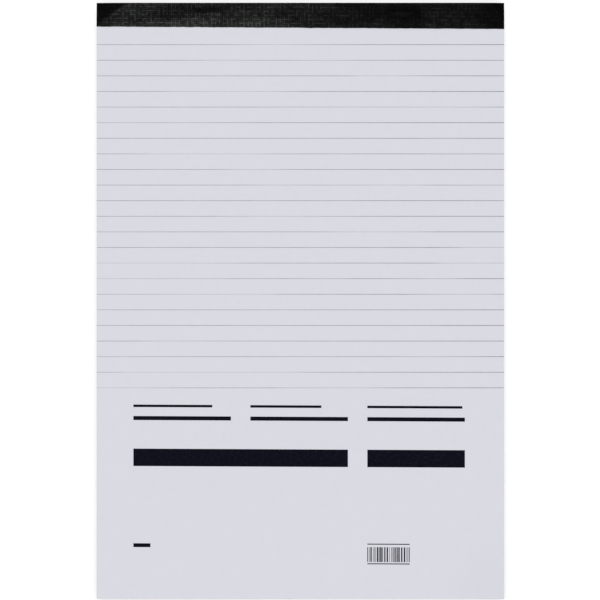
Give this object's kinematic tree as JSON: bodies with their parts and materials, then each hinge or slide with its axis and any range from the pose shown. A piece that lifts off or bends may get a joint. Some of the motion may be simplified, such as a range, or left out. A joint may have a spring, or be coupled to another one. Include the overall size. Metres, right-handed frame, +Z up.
{
  "type": "writing pad",
  "caption": "Top-bound ruled writing pad: a stack of sheets between a printed cover sheet and a grey back board, wire-stitched at the head under a folded cloth tape.",
  "frame": {"origin": "on the surface that the pad lies on, under the middle of its length and width", "axes": "+X across the pad, +Y towards the bound head, +Z up from the back board to the cover"},
  "size_m": [0.21, 0.3072, 0.0108],
  "materials": {
    "cover_paper": "matt uncoated white paper with a faint lavender cast",
    "writing_paper": "matt uncoated white writing paper, cut edges showing",
    "greyboard": "dull grey-brown recycled board with flecks of fibre",
    "tape_cloth": "black book cloth with a fine linen grain and a satin sheen",
    "stitch_wire": "galvanised round wire"
  },
  "bodies": {
    "root": {"cover_sheet": "cover_paper", "ruled_sheets": "writing_paper", "back_board": "greyboard", "binding_tape": "tape_cloth", "wire_stitches": "stitch_wire"}
  },
  "joints": []
}
